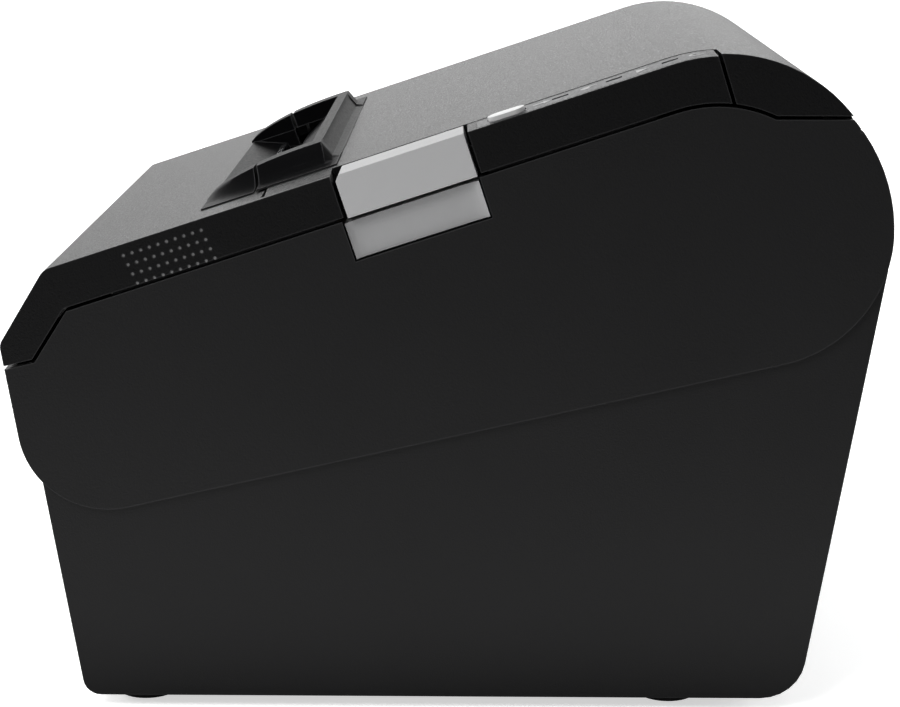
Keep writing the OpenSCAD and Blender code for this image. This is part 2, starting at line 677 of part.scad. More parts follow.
module platen_shaft() color([0.75, 0.75, 0.77]) slope_frame()
    rod_at(platen, -53, 49, platen_shaft_r);
module platen_rubber() color([0.12, 0.12, 0.12]) slope_frame()
    tube_at(platen, -paper_w / 2 - 0.5, paper_w / 2 + 0.5, platen_r, platen_shaft_r);
module platen_gear() color([0.85, 0.84, 0.8]) slope_frame() difference() {
    gear_at(platen, -52.4, -49.4, feed_teeth, feed_module, idler_dir);
    rod_at(platen, -60, -40, platen_shaft_r);
}
module platen_bushes() color([0.7, 0.55, 0.3]) slope_frame()
    for (side = [0, 1]) mirror([side, 0, 0]) {
    tube_at(platen, 41.6, 48.2, bush_r, platen_shaft_r + 0.05);
    tube_at(platen, 48.2, 48.9, 5.2, platen_shaft_r + 0.05);
}
module platen_bracket() color([0.66, 0.67, 0.69]) slope_frame() {
    both_sides(41.4, 43) difference() {
        polygon([platen + [-4.8, -3], platen + [-4.8, 4], platen + [-2, 6.6], platen + [8, 6.6],
            platen + [8, -6], platen + [0, -6]]);
        translate(platen) circle(bush_r + 0.02);
    }
    block([-41.4, platen.x + 6.6, -24], [41.4, platen.x + 8, -11.4]);
}
module fixed_blade() color([0.82, 0.83, 0.85]) slope_across(-41, 41)
    polygon([[50.3, -10.2], [65.3, -10.2], [65.3, -11.3], [50.9, -11.3]]);

module feed_motor() color([0.62, 0.63, 0.65]) slope_frame() {
    rod_at(feed_motor_at, -45.9, -26, 13);
    rod_at(feed_motor_at, -47.4, -45.9, 4.9);
    across(-45.9, -44.9) translate(feed_motor_at)
        polygon([[-18.5, -4], [18.5, -4], [18.5, 3.6], [-18.5, 3.6]]);
}
module motor_pinion() color([0.8, 0.7, 0.45]) slope_frame() {
    gear_at(feed_motor_at, -56.8, -51.6, pinion_teeth, feed_module,
        motor_dir + 180 + 180 / pinion_teeth);
    rod_at(feed_motor_at, -51.6, -47.6, 2);
}
module reduction_gear() color([0.85, 0.84, 0.8]) slope_frame() difference() {
    union() {
        gear_at(idler, -52.8, -49.2, idler_small, feed_module, idler_dir + 180 + 180 / idler_small);
        gear_at(idler, -56.4, -53.4, idler_big, feed_module, motor_dir);
        rod_at(idler, -53.4, -52.8, 4.4);
    }
    rod_at(idler, -60, -40, 1.56);
}
module gear_stud() color([0.75, 0.75, 0.77]) slope_frame() {
    rod_at(idler, -57, -46, 1.5);
    rod_at(idler, -57.8, -56.8, 2.4);
}

// ---------- cutter ----------
cut_h = -9.9;
rack_xs = [-32, 32];
drive_axis = [14, -18.2];
rack_teeth_m = 0.8;
rack_pinion_teeth = 10;
rack_pitch_h = drive_axis.y + rack_teeth_m * rack_pinion_teeth / 2;
cutter_gear_teeth = 24;
cutter_pinion_teeth = 12;
cutter_dir = 209;
cutter_motor_at = drive_axis
    + polar(cutter_module * (cutter_gear_teeth + cutter_pinion_teeth) / 2, cutter_dir);

module cutter_frame() color([0.66, 0.67, 0.69]) slope_frame() difference() {
    union() {
        block([-42.6, 3, cut_h - 1.3], [42.6, 47, cut_h - 0.1]);
        both_sides(41.4, 42.6) polygon([[3, cut_h + 3], [47, cut_h + 3], [47, cut_h - 1.3],
            [19, cut_h - 1.3], [19, -22], [9, -22], [9, cut_h - 1.3], [3, cut_h - 1.3]]);
        block([27.2, 1, -28], [28.4, 9.6, cut_h - 1.2]);
        both_sides(42.5, plate_x[1]) polygon([[28.4, cut_h + 0.1], [34.8, cut_h + 0.1],
            [34.8, cutter_rest_h], [28.4, cutter_rest_h]]);
    }
    for (x = rack_xs) block([x - 2.6, 2, -18], [x + 2.6, 34, 0]);
    block([35.4, 5, -30], [40, 23, 0]);
    rod_at(drive_axis, -50, 50, 1.56);
    rod_at(cutter_motor_at, 20, 30, 2.6);
}
module moving_blade() color([0.82, 0.83, 0.85]) slope_frame() {
    translate([0, 0, cut_h]) linear_extrude(0.8) polygon([[-40.6, 4], [40.6, 4], [40.6, 47.8],
        [36, 47.8], [0, 43.4], [-36, 47.8], [-40.6, 47.8]]);
    for (x = rack_xs) across(x - 1.8, x + 1.8) polygon(rack_points);
}
// A rack under the blade, with a gap over the pinion's axis.
rack_pitch = PI * rack_teeth_m;
rack_count = 6;
rack_start = drive_axis.x - 4 * rack_pitch;
rack_points = concat([[rack_start, cut_h]],
    [for (k = [0 : rack_count - 1]) each rack_tooth(rack_start + k * rack_pitch)],
    [for (h = [rack_pitch_h + 1, cut_h]) [rack_start + rack_count * rack_pitch, h]]);
function rack_tooth(s) = [[s + 0.26, rack_pitch_h + 0.95], [s + 0.96, rack_pitch_h - 0.74],
    [s + rack_pitch - 0.96, rack_pitch_h - 0.74], [s + rack_pitch - 0.26, rack_pitch_h + 0.95]];
module cutter_shaft() color([0.75, 0.75, 0.77]) slope_frame() {
    rod_at(drive_axis, -43.4, 43.4, 1.5);
}
module cutter_gear() color([0.85, 0.84, 0.8]) slope_frame() difference() {
    union() {
        for (x = rack_xs)
            gear_at(drive_axis, x - 1.7, x + 1.7, rack_pinion_teeth, rack_teeth_m, 90);
        gear_at(drive_axis, 36.2, 39.2, cutter_gear_teeth, cutter_module, cutter_dir);
    }
    rod_at(drive_axis, -50, 50, 1.5);
}
module cutter_motor() color([0.62, 0.63, 0.65]) slope_frame() {
    rod_at(cutter_motor_at, 0, 27.1, 7.6);
    rod_at(cutter_motor_at, 27.1, 28.4, 2.5);
    rod_at(cutter_motor_at, -1.6, 0, 3);
}
module cutter_motor_pinion() color([0.8, 0.7, 0.45]) slope_frame() {
    gear_at(cutter_motor_at, 36, 39.4, cutter_pinion_teeth, cutter_module,
        cutter_dir + 180 + 180 / cutter_pinion_teeth);
    rod_at(cutter_motor_at, 28.6, 36, 1);
}

// ---------- electronics ----------
board_t = 1.6;
board_top = board_z + board_t;
panel_y = 70;
module main_board() color([0.08, 0.32, 0.18]) difference() {
    block([-58, -58, board_z], [58, 69, board_top]);
    for (p = board_posts) translate([p.x, p.y, 0]) cylinder(r = 1.7, h = 30);
    for (x = [-bucket_feet_x, bucket_feet_x], y = bucket_feet_y) translate([x, y, 0])
        cylinder(r = 4, h = 30);
    for (side = [-1, 1]) translate([side * frame_post.x, frame_post_y, 0])
        cylinder(r = 4.5, h = 30);
}
module board_components() color([0.15, 0.15, 0.16]) {
    for (c = [[-14, -30, 14, 14, 1.8], [16, -6, 10, 18, 1.6], [-40, -10, 12, 8, 2],
        [46, -20, 9, 9, 1.6], [-8, 8, 8, 6, 1.4], [14, 28, 12, 12, 3.4]])
        block([c[0], c[1], board_top], [c[0] + c[2], c[1] + c[3], board_top + c[4]]);
    for (p = [[-44, 40], [-26, 42], [46, 20]]) translate([p.x, p.y, board_top])
        cylinder(r = 5, h = 11);
    for (p = [[-30, -52], [-6, -52], [14, -52]])
        block([p.x, p.y, board_top], [p.x + 14, p.y + 6, board_top + 5.5]);
}
module interface_panel() color([0.7, 0.71, 0.73]) difference() {
    block([-port_half + 1, panel_y, 8.6], [port_half - 1, panel_y + 1.2, port_high + 4]);
    translate([44, 0, 24]) rotate([-90, 0, 0]) cylinder(r = 6.7, h = 100);
    for (p = port_holes) block([p[0], 60, p[1]], [p[2], 80, p[3]]);
}
// Openings of the panel, from x and z to x and z.
port_holes = [[19.8, 14.6, 34.2, 29], [4.8, 14.6, 17.2, 26.2], [-15.2, 14.6, 1.2, 28.6],
    [-37.2, 15.6, -18.8, 29.4], [-54.2, 15.8, -40.8, 35.2]];
module socket(lo, hi, pocket) difference() {
    block(lo, hi);
    block([lo.x + pocket, hi.y - 8, lo.z + pocket], [hi.x - pocket, hi.y + 1, hi.z - pocket]);
}
port_front = panel_y + 1.8;
module power_inlet() color([0.13, 0.13, 0.14]) {
    difference() {
        union() {
            block([37, 56, board_top], [51, panel_y - 0.1, 31]);
            translate([44, panel_y - 0.2, 24]) rotate([-90, 0, 0]) cylinder(r = 6.5, h = 3);
        }
        translate([44, panel_y - 6, 24]) rotate([-90, 0, 0]) cylinder(r = 5, h = 20);
    }
    for (a = [90, 210, 330]) translate([44 + 2.6 * cos(a), panel_y - 6.2, 24 + 2.6 * sin(a)])
        rotate([-90, 0, 0]) cylinder(r = 0.6, h = 6);
}
module drawer_port() color([0.13, 0.13, 0.14])
    socket([20, 54, board_top], [34, port_front, 28.8], 1.6);
module usb_port() color([0.75, 0.76, 0.78]) {
    socket([5, 56, board_top], [17, port_front, 26], 0.9);
    block([8, port_front - 8.2, 18.4], [14, port_front - 1, 22.2]);
}
module network_port() color([0.75, 0.76, 0.78])
    socket([-15, 54, board_top], [1, port_front, 28.4], 1.2);
module serial_port() color([0.75, 0.76, 0.78]) {
    block([-38, 58, board_top], [-18, panel_y - 0.1, 30]);
    difference() {
        block([-36.8, panel_y - 0.2, 16.8], [-19.2, panel_y + 6, 28.2]);
        block([-35.8, panel_y + 1, 17.8], [-20.2, panel_y + 8, 27.2]);
    }
    for (i = [0 : 4]) translate([-33.5 + 2.75 * i, panel_y + 0.5, 24.3]) rotate([-90, 0, 0])
        cylinder(r = 0.5, h = 4.5);
    for (i = [0 : 3]) translate([-32.1 + 2.75 * i, panel_y + 0.5, 20.7]) rotate([-90, 0, 0])
        cylinder(r = 0.5, h = 4.5);
}
rocker_at = [-47.5, panel_y - 1.4, 25.5];
module switch_housing() color([0.13, 0.13, 0.14]) difference() {
    union() {
        block([-54, 57, 16], [-41, panel_y + 1.2, 35]);
        block([-55.4, panel_y + 1.2, 14.6], [-39.6, panel_y + 2.6, 36.4]);
    }
    block([-53, 60, 17], [-42, panel_y + 4, 34]);
    translate(rocker_at) rod(-8, 8, 1.05);
}
module switch_rocker() color([0.16, 0.16, 0.17]) translate(rocker_at) {
    rod(-6.4, 6.4, 1);
    rotate([-7, 0, 0]) across(-5.2, 5.2) polygon([[-1.4, -7.6], [4.2, -7.8], [3.2, 0], [4.2, 7.8],
        [-1.4, 7.6], [-3, 0]]);
}
module speaker() color([0.2, 0.2, 0.21]) slope_frame() {
    block([half_w - 6.4, 18.4, -13.4], [half_w - wall - 0.2, 37.6, -3.2]);
    block([half_w - 8.4, 22, -12], [half_w - 6.4, 34, -5]);
}
module paper_sensor() color([0.15, 0.15, 0.16]) block([-5, 33, roll_centre.y - bucket_r - 8],
    [5, 43, roll_centre.y - bucket_r - bucket_wall - 0.1]);
// Flat cable from the print head's foot to the main board.
module head_cable() color([0.85, 0.85, 0.82]) across(-18, 18) polygon([
    on(45.6, -42.6), on(46.4, -42.6), on(44, -54), [-34.4, 40], [-46.2, 24],
    [-46.2, board_top + 5.6], [-47, board_top + 5.6],
    [-47, 24.4], [-35.4, 40.4], on(43.2, -54)]);

// ---------- feet and fasteners ----------
module rubber_feet() color([0.07, 0.07, 0.07]) for (x = [-foot_x, foot_x], y = foot_ys)
    translate([x, y, 0]) {
        cylinder(r1 = foot_r - 0.7, r2 = foot_r, h = 0.7);
        translate([0, 0, 0.7]) cylinder(r = foot_r, h = 3.3);
    }
module screw(head_r, head_h, r, length) {
    difference() {
        cylinder(r = head_r, h = head_h);
        for (a = [0, 90]) rotate(a) translate([-head_r * 0.6, -0.35, -1])
            cube([head_r * 1.2, 0.7, 1 + head_h * 0.6]);
    }
    cylinder(r = r, h = length);
}
module case_screws() color([0.3, 0.3, 0.31]) for (p = corner_bosses) translate([p.x, p.y, 3.6])
    screw(3, 2.2, 1.25, 32);
module board_screws() color([0.7, 0.7, 0.72]) for (p = board_posts)
    translate([p.x, p.y, board_top + 1.8]) mirror([0, 0, 1]) screw(2.8, 1.7, 1.25, 8);
module frame_screws() color([0.7, 0.7, 0.72]) slope_frame()
    for (side = [-1, 1]) translate([side * frame_post.x, frame_post.y, frame_h[0] + 3.4])
        mirror([0, 0, 1]) screw(2.9, 1.8, 1.5, 11);

bottom_case();
upper_case();
front_cover();
collar_front();
tear_bar();
lid_cover();
collar_rear();
lid_liner();
hinge_pins();
control_panel();
panel_overlay();
control_board();
feed_button();
open_lever();
lever_pin();
lever_scoop();
roll_bucket();
mech_frame();
print_head();
heat_sink();
head_springs();
head_pivot_pin();
latch_shaft();
latch_hooks();
platen_shaft();
platen_rubber();
platen_gear();
platen_bushes();
platen_bracket();
fixed_blade();
feed_motor();
motor_pinion();
reduction_gear();
gear_stud();
cutter_frame();
moving_blade();
cutter_shaft();
cutter_gear();
cutter_motor();
cutter_motor_pinion();
main_board();
board_components();
interface_panel();
power_inlet();
drawer_port();
usb_port();
network_port();
serial_port();
switch_housing();
switch_rocker();
speaker();
paper_sensor();
head_cable();
rubber_feet();
case_screws();
board_screws();
frame_screws();
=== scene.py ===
"""Looks of the receipt printer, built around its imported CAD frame. Metres, unless a comment says mm."""

import math

import bmesh
import bpy
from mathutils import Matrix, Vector


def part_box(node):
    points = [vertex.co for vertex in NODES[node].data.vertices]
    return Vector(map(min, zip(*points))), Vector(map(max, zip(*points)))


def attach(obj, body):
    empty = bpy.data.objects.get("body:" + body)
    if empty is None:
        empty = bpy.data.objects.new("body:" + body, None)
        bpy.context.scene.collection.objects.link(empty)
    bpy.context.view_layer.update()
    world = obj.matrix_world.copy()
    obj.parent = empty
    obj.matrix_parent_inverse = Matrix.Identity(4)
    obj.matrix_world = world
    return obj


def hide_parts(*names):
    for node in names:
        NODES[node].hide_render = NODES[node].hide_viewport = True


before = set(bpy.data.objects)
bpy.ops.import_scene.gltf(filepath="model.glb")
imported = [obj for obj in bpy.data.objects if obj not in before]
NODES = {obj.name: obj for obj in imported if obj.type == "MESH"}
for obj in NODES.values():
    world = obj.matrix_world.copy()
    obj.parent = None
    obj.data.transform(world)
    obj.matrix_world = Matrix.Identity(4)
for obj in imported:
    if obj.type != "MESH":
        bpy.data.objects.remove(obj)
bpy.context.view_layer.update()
MM = 0.001

# The sloped top: U runs up it and N stands on it.
SLOPE = math.radians(18.2)
U = Vector((0, math.cos(SLOPE), math.sin(SLOPE)))
N = Vector((0, -math.sin(SLOPE), math.cos(SLOPE)))

# ---------- materials ----------
NOISE_SPAN = (0.3, 0.7)                 # the part of its range that a noise texture mostly keeps to
MOTTLE_SCALE, MOTTLE_DETAIL = 35, 3     # the slow change of colour across a surface
GRAIN_DETAIL = 2
LEAST_ROUGH = 0.02
COAT_ROUGH = 0.08
EDGE_REACH = 0.45 * MM                  # how far the painted edge highlight goes from a sharp edge
EDGE_SPAN = (0.86, 0.985)               # cosine of the edge's turn where the painted highlight is full, and where nil
EDGE_SAMPLES = 6
# Painted highlight: lighter colours along the sharp edges, standing in for the light the edges catch.
PLASTIC_EDGE_HIGHLIGHT = (0.03, 0.03, 0.031)
GLOSS_EDGE_HIGHLIGHT = (0.06, 0.06, 0.062)
MATS = {}


def tree_of(name):
    """The node tree and the shader of a new material. MATS holds it under this name; Blender may add a
    number to its own, because the frame brings materials along."""
    MATS[name] = mat = bpy.data.materials.new(name)
    mat.use_nodes = True
    return mat.node_tree, mat.node_tree.nodes["Principled BSDF"]


def feed(tree, socket, value):
    """Links an output to a socket, or sets the socket to a number or a colour."""
    if isinstance(value, bpy.types.NodeSocket):
        tree.links.new(value, socket)
    elif isinstance(value, tuple):
        socket.default_value = (*value, 1)
    else:
        socket.default_value = value


def object_coords(tree, scale=(1, 1, 1)):
    coords = tree.nodes.new("ShaderNodeTexCoord")
    mapping = tree.nodes.new("ShaderNodeMapping")
    mapping.inputs["Scale"].default_value = scale
    tree.links.new(coords.outputs["Object"], mapping.inputs["Vector"])
    return mapping.outputs["Vector"]


def texture(tree, kind, stretch=(1, 1, 1), **settings):
    """A texture node on the object's own coordinates. An underscore stands for a space in a setting."""
    node = tree.nodes.new(kind)
    for name, value in settings.items():
        feed(tree, node.inputs[name.replace("_", " ")], value)
    tree.links.new(object_coords(tree, stretch), node.inputs["Vector"])
    return node


def noise(tree, scale, detail, stretch=(1, 1, 1)):
    return texture(tree, "ShaderNodeTexNoise", stretch, Scale=scale, Detail=detail).outputs["Fac"]


def map_range(tree, value, span, start, end, kind="SMOOTHSTEP"):
    """Goes from start to end while the value goes across the span, and holds still beyond it."""
    node = tree.nodes.new("ShaderNodeMapRange")
    node.interpolation_type = kind
    for name, number in zip(("From Min", "From Max", "To Min", "To Max"), (*span, start, end)):
        node.inputs[name].default_value = number
    tree.links.new(value, node.inputs["Value"])
    return node.outputs["Result"]


def math_node(tree, operation, a, b):
    node = tree.nodes.new("ShaderNodeMath")
    node.operation = operation
    feed(tree, node.inputs[0], a)
    feed(tree, node.inputs[1], b)
    return node.outputs[0]


def mix_colors(tree, factor, a, b):
    """Colour a where the factor is 0 and b where it is 1. Each is a colour or an output."""
    node = tree.nodes.new("ShaderNodeMix")
    node.data_type = "RGBA"
    for name, value in (("Factor", factor), ("A", a), ("B", b)):
        feed(tree, node.inputs[name], value)
    return node.outputs["Result"]


def bump(tree, bsdf, height, distance):
    node = tree.nodes.new("ShaderNodeBump")
    node.inputs["Distance"].default_value = distance
    tree.links.new(height, node.inputs["Height"])
    tree.links.new(node.outputs["Normal"], bsdf.inputs["Normal"])


def tint(color, share):
    return tuple(min(1.0, c * share) for c in color)


def edge_highlight_share(tree):
    """Near 1 within a fraction of a millimetre of a sharp edge, and 0 on the flats: the mask of the painted
    edge highlight.
    """
    rounded = tree.nodes.new("ShaderNodeBevel")
    rounded.samples = EDGE_SAMPLES
    rounded.inputs["Radius"].default_value = EDGE_REACH
    flat = tree.nodes.new("ShaderNodeNewGeometry")
    dot = tree.nodes.new("ShaderNodeVectorMath")
    dot.operation = "DOT_PRODUCT"
    tree.links.new(rounded.outputs["Normal"], dot.inputs[0])
    tree.links.new(flat.outputs["True Normal"], dot.inputs[1])
    return map_range(tree, dot.outputs["Value"], EDGE_SPAN, 1, 0)


def surface(name, color, rough, metal=0.0, grain=900, depth=0.02, spread=0.06, specular=0.5,
            stretch=(1, 1, 1), change=0.15, coat=0.0, edge=None):
    """A moulded, painted, rubber or metal finish: slow colour change, uneven gloss and a fine grain,
    depth mm deep. The colour edge, where given, is a painted highlight along the sharp edges: it stands in
    for the light they catch."""
    tree, bsdf = tree_of(name)
    slow = noise(tree, MOTTLE_SCALE, MOTTLE_DETAIL)
    paint = mix_colors(tree, slow, tint(color, 1 - change), tint(color, 1 + change))
    # Painted highlight: the edge colour, lighter than the plastic, stands in for the light that the sharp
    # edges catch.
    if edge:
        paint = mix_colors(tree, edge_highlight_share(tree), paint, edge)
    fine = noise(tree, grain, GRAIN_DETAIL, stretch)
    gloss = map_range(tree, fine, NOISE_SPAN, max(LEAST_ROUGH, rough - spread), min(1, rough + spread),
                      "LINEAR")
    for socket, value in (("Base Color", paint), ("Roughness", gloss), ("Metallic", metal),
                          ("Specular IOR Level", specular), ("Coat Weight", coat),
                          ("Coat Roughness", COAT_ROUGH)):
        feed(tree, bsdf.inputs[socket], value)
    bump(tree, bsdf, fine, depth * MM)


def circuit_board():
    """Green solder mask over copper tracks, with tinned pads."""
    pad_size, pad_color = 0.2, (0.55, 0.5, 0.4)
    tree, bsdf = tree_of("board_green")
    tracks = texture(tree, "ShaderNodeTexBrick", Scale=260, Mortar_Size=0.11, Mortar=(0.012, 0.19, 0.07),
                     Color1=(0.004, 0.09, 0.035), Color2=(0.006, 0.11, 0.045))
    dots = texture(tree, "ShaderNodeTexVoronoi", Scale=330)
    pads = math_node(tree, "LESS_THAN", dots.outputs["Distance"], pad_size)
    feed(tree, bsdf.inputs["Base Color"], mix_colors(tree, pads, tracks.outputs["Color"], pad_color))
    feed(tree, bsdf.inputs["Metallic"], pads)
    feed(tree, bsdf.inputs["Roughness"], 0.32)
    bump(tree, bsdf, tracks.outputs["Fac"], 0.03 * MM)


def flat_cable():
    """White film with a fine line for each conductor."""
    film, line = (0.72, 0.72, 0.68), (0.38, 0.39, 0.4)
    tree, bsdf = tree_of("cable_white")
    lines = texture(tree, "ShaderNodeTexWave", Scale=320).outputs["Fac"]
    feed(tree, bsdf.inputs["Base Color"], mix_colors(tree, lines, film, line))
    feed(tree, bsdf.inputs["Roughness"], 0.35)
    bump(tree, bsdf, lines, 0.04 * MM)


# The edge colours given below are painted highlights along the sharp edges.
surface("case_black", (0.0075, 0.0075, 0.0078), 0.46, grain=2600, depth=0.07, specular=0.16,
        edge=PLASTIC_EDGE_HIGHLIGHT)
surface("cover_black", (0.004, 0.004, 0.0042), 0.34, grain=2600, depth=0.09, spread=0.09,
        specular=0.12, edge=PLASTIC_EDGE_HIGHLIGHT)
surface("inner_black", (0.012, 0.012, 0.013), 0.55, grain=1800, depth=0.04)
surface("gloss_black", (0.003, 0.003, 0.0033), 0.38, grain=1400, depth=0.006, spread=0.04,
        specular=0.02, edge=GLOSS_EDGE_HIGHLIGHT)
surface("overlay_grey", (0.055, 0.056, 0.058), 0.36, grain=1600, depth=0.006, specular=0.16)
# Speaker screen: pale grey, partly a painted highlight for the light caught inside the speaker holes.
surface("screen_grey_and_highlight", (0.13, 0.13, 0.13), 0.6, grain=1600, depth=0.01)
surface("icon_grey", (0.42, 0.42, 0.42), 0.5, grain=1600, depth=0.006, specular=0.2)
surface("lens_dark", (0.012, 0.012, 0.014), 0.12, depth=0.004, coat=0.5)
surface("button_grey", (0.66, 0.66, 0.66), 0.45, grain=2200, depth=0.015, specular=0.15)
surface("lever_silver", (0.4, 0.4, 0.404), 0.42, grain=3200, depth=0.01, specular=0.1, change=0.04)
surface("scoop_silver", (0.31, 0.31, 0.314), 0.5, grain=3200, depth=0.008, change=0.04)
surface("sheet_steel", (0.45, 0.46, 0.47), 0.36, metal=1, grain=700, depth=0.01,
        stretch=(0.08, 1, 1), change=0.1)
surface("pin_steel", (0.55, 0.55, 0.56), 0.24, metal=1, grain=1500, depth=0.006)
surface("spring_steel", (0.5, 0.5, 0.52), 0.28, metal=1, grain=2500, depth=0.005)
surface("blade_steel", (0.6, 0.61, 0.63), 0.2, metal=1, grain=1200, depth=0.006,
        stretch=(1, 0.05, 0.05), change=0.06)
surface("head_ceramic", (0.06, 0.03, 0.02), 0.18, depth=0.004, coat=0.5)
surface("head_aluminium", (0.6, 0.61, 0.62), 0.34, metal=1, depth=0.012,
        stretch=(0.06, 1, 1), change=0.08)
surface("platen_black", (0.014, 0.014, 0.014), 0.62, grain=2400, depth=0.03)
surface("gear_white", (0.62, 0.6, 0.54), 0.42, grain=1600, depth=0.012, change=0.05)
surface("gear_brass", (0.62, 0.44, 0.17), 0.28, metal=1, grain=1300, depth=0.008)
surface("bush_bronze", (0.42, 0.26, 0.12), 0.4, metal=1, grain=2400, depth=0.012)
surface("motor_can", (0.4, 0.41, 0.42), 0.33, metal=1, grain=600, depth=0.01,
        stretch=(0.1, 1, 1))
circuit_board()
surface("chip_black", (0.015, 0.015, 0.016), 0.5, grain=2600)
surface("socket_black", (0.012, 0.012, 0.013), 0.44, grain=2000)
surface("socket_metal", (0.55, 0.56, 0.57), 0.3, metal=1, depth=0.008)
flat_cable()
surface("foot_rubber", (0.006, 0.006, 0.006), 0.75, grain=1500, depth=0.05)
surface("screw_black", (0.03, 0.03, 0.032), 0.35, metal=0.8, grain=1800, depth=0.01)

# ---------- CAD nodes: finish and softened edges ----------
WELD = 0.002 * MM                   # points nearer than this become one
FLAT_ANGLE = math.radians(0.6)      # triangles that meet at less than this become one face
EDGE_ANGLE = math.radians(32)       # edges that turn more than this are rounded
WIDE_EDGE = 0.4                     # mm; an edge at least this wide gets a third segment

# Material of each CAD node, and the width in mm that its edges are rounded to.
FINISH = {
    "case_black": (0.35, ["bottom_case", "upper_case"]),
    "cover_black": (0.35, ["front_cover", "lid_cover", "control_panel"]),
    "inner_black": (0.3, ["lid_liner", "roll_bucket", "paper_sensor"]),
    "gloss_black": (0.25, ["collar_front", "collar_rear"]),
    "overlay_grey": (0.08, ["panel_overlay"]),
    "button_grey": (0.25, ["feed_button"]),
    "lever_silver": (0.6, ["open_lever", "lever_scoop"]),
    "sheet_steel": (0.12, ["mech_frame", "cutter_frame", "platen_bracket", "interface_panel"]),
    "pin_steel": (0.15, ["hinge_pins", "lever_pin", "head_pivot_pin", "latch_shaft", "platen_shaft",
                         "gear_stud", "cutter_shaft", "board_screws", "frame_screws"]),
    "spring_steel": (0.0, ["head_springs"]),
    "blade_steel": (0.08, ["tear_bar", "fixed_blade", "moving_blade", "latch_hooks"]),
    "head_ceramic": (0.15, ["print_head"]),
    "head_aluminium": (0.15, ["heat_sink"]),
    "platen_black": (0.3, ["platen_rubber"]),
    "gear_white": (0.08, ["platen_gear", "reduction_gear", "cutter_gear"]),
    "gear_brass": (0.06, ["motor_pinion", "cutter_motor_pinion"]),
    "bush_bronze": (0.15, ["platen_bushes"]),
    "motor_can": (0.5, ["feed_motor", "cutter_motor"]),
    "board_green": (0.08, ["main_board", "control_board"]),
    "chip_black": (0.15, ["board_components", "speaker"]),
    "socket_black": (0.2, ["power_inlet", "drawer_port", "switch_housing", "switch_rocker"]),
    "socket_metal": (0.12, ["usb_port", "network_port", "serial_port"]),
    "cable_white": (0.0, ["head_cable"]),
    "foot_rubber": (0.3, ["rubber_feet"]),
    "screw_black": (0.1, ["case_screws"]),
}


def soften(node, width):
    """Evens the shading of the node's mesh. Where a width is given, it first joins the flat triangles
    into faces and rounds the sharp edges."""
    mesh = node.data
    custom = mesh.attributes.get("custom_normal")
    if custom:
        mesh.attributes.remove(custom)
    mesh.shade_smooth()
    weld = node.modifiers.new("weld", "WELD")
    weld.merge_threshold = WELD
    if width:
        flat = node.modifiers.new("flat", "DECIMATE")
        flat.decimate_type = "DISSOLVE"
        flat.angle_limit = FLAT_ANGLE
        bevel = node.modifiers.new("bevel", "BEVEL")
        bevel.width = width * MM
        bevel.segments = 3 if width >= WIDE_EDGE else 2
        bevel.limit_method = "ANGLE"
        bevel.angle_limit = EDGE_ANGLE
        bevel.harden_normals = True
        bevel.miter_outer = "MITER_ARC"
    normals = node.modifiers.new("normals", "WEIGHTED_NORMAL")
    normals.keep_sharp = True


for finish, (width, names) in FINISH.items():
    for name in names:
        NODES[name].data.materials.clear()
        NODES[name].data.materials.append(MATS[finish])
        soften(NODES[name], width)

# ---------- new pieces ----------
SAME_POINT = 1e-7
SHARP_ANGLE = math.radians(35)
WALL = 2.2 * MM                         # thickness of the shells
SCOOP_DEPTH = 1.5 * MM
SCOOP_COLS, SCOOP_ROWS = 40, 16

# Each inner lip: its side, and its ends in mm up the slope from the middle of the scoop.
LIPS = {"front_right": (1, -68, -16.5), "rear_right": (1, 17.5, 55), "left": (-1, -68, 55)}
LIP_LOW, LIP_HIGH = -1.2, 2.6           # mm above the top of the scoop
LIP_THICK, LIP_GAP = 0.5 * MM, 0.1 * MM

# The panel's signs and lenses, in mm. Their places go up the slope from the feed button.
RAY_HEIGHT = 8
SIGN = 1.45                             # size of a sign, to a unit of its outline
SIGN_PLACES = (7.7, 18.1, 30.1, 41.6)
SIGN_LOW, SIGN_HIGH = 0.01, 0.04        # above the film
LENS_PLACES = (11.9, 23.8, 36.1)
LENS_HALF, LENS_CORNER = (0.64, 1.74), 0.45
LENS_LOW, LENS_HIGH = -1.7, -0.4        # from the film
LENS_BESIDE = -1.9                      # across, to where the film has no window

# The screen's pale discs are partly a painted highlight for the light caught inside the holes.
# The speaker screen, in mm along and up the speaker from the lower end of its top edge.
HOLE_ROWS, HOLE_COLS = 4, 10
HOLE_FIRST, HOLE_STEP = (-0.8, 0.8), (1.97, 2.2)
HOLE_SHIFT = 0.25                       # along, from one row to the next
HOLE_RADIUS = 0.34 * MM
SCREEN_IN, SCREEN_OUT = 1.4 * MM, 0.12 * MM     # inside the cover's outer face

RIB_PLACES, RIB_HALF_WIDTH = (-30, -10, 10, 30), 0.6    # mm across
RIB_RADIUS, RIB_HEIGHT = 43 * MM, 0.8 * MM
RIB_ABOVE_SENSOR = 2.1 * MM
RIB_HALF_TURN, RIB_STEPS = 62, 40       # degrees to each side of the lowest point

# The rear, in mm. IN and OUT are distances from the face of the interface plate.
POST_RADIUS, POST_BESIDE, POST_ABOVE = 2.4, 0.9, 8
POST_IN, POST_OUT = -0.2, 4.4
SCREW_PLACES, SCREW_RADIUS = ((-51, 40.5), (51, 40.5), (51, 13)), 2.6
SCREW_IN, SCREW_OUT = -0.1, 1.3
SLOT_LONG, SLOT_WIDE = 1.5, 0.25        # half of each
SLOT_IN, SLOT_OUT = 1.25, 1.34


def slope_box(node):
    """Centre, length up the slope, height above it and width of a CAD node that is a block on the slope."""
    lo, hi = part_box(node)
    size = hi - lo
    c, s = math.cos(SLOPE), math.sin(SLOPE)
    length = (size.y * c - size.z * s) / (c * c - s * s)
    height = (size.z * c - size.y * s) / (c * c - s * s)
    return (lo + hi) / 2, length, height, size.x


def middle(node):
    lo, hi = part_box(node)
    return (lo + hi) / 2


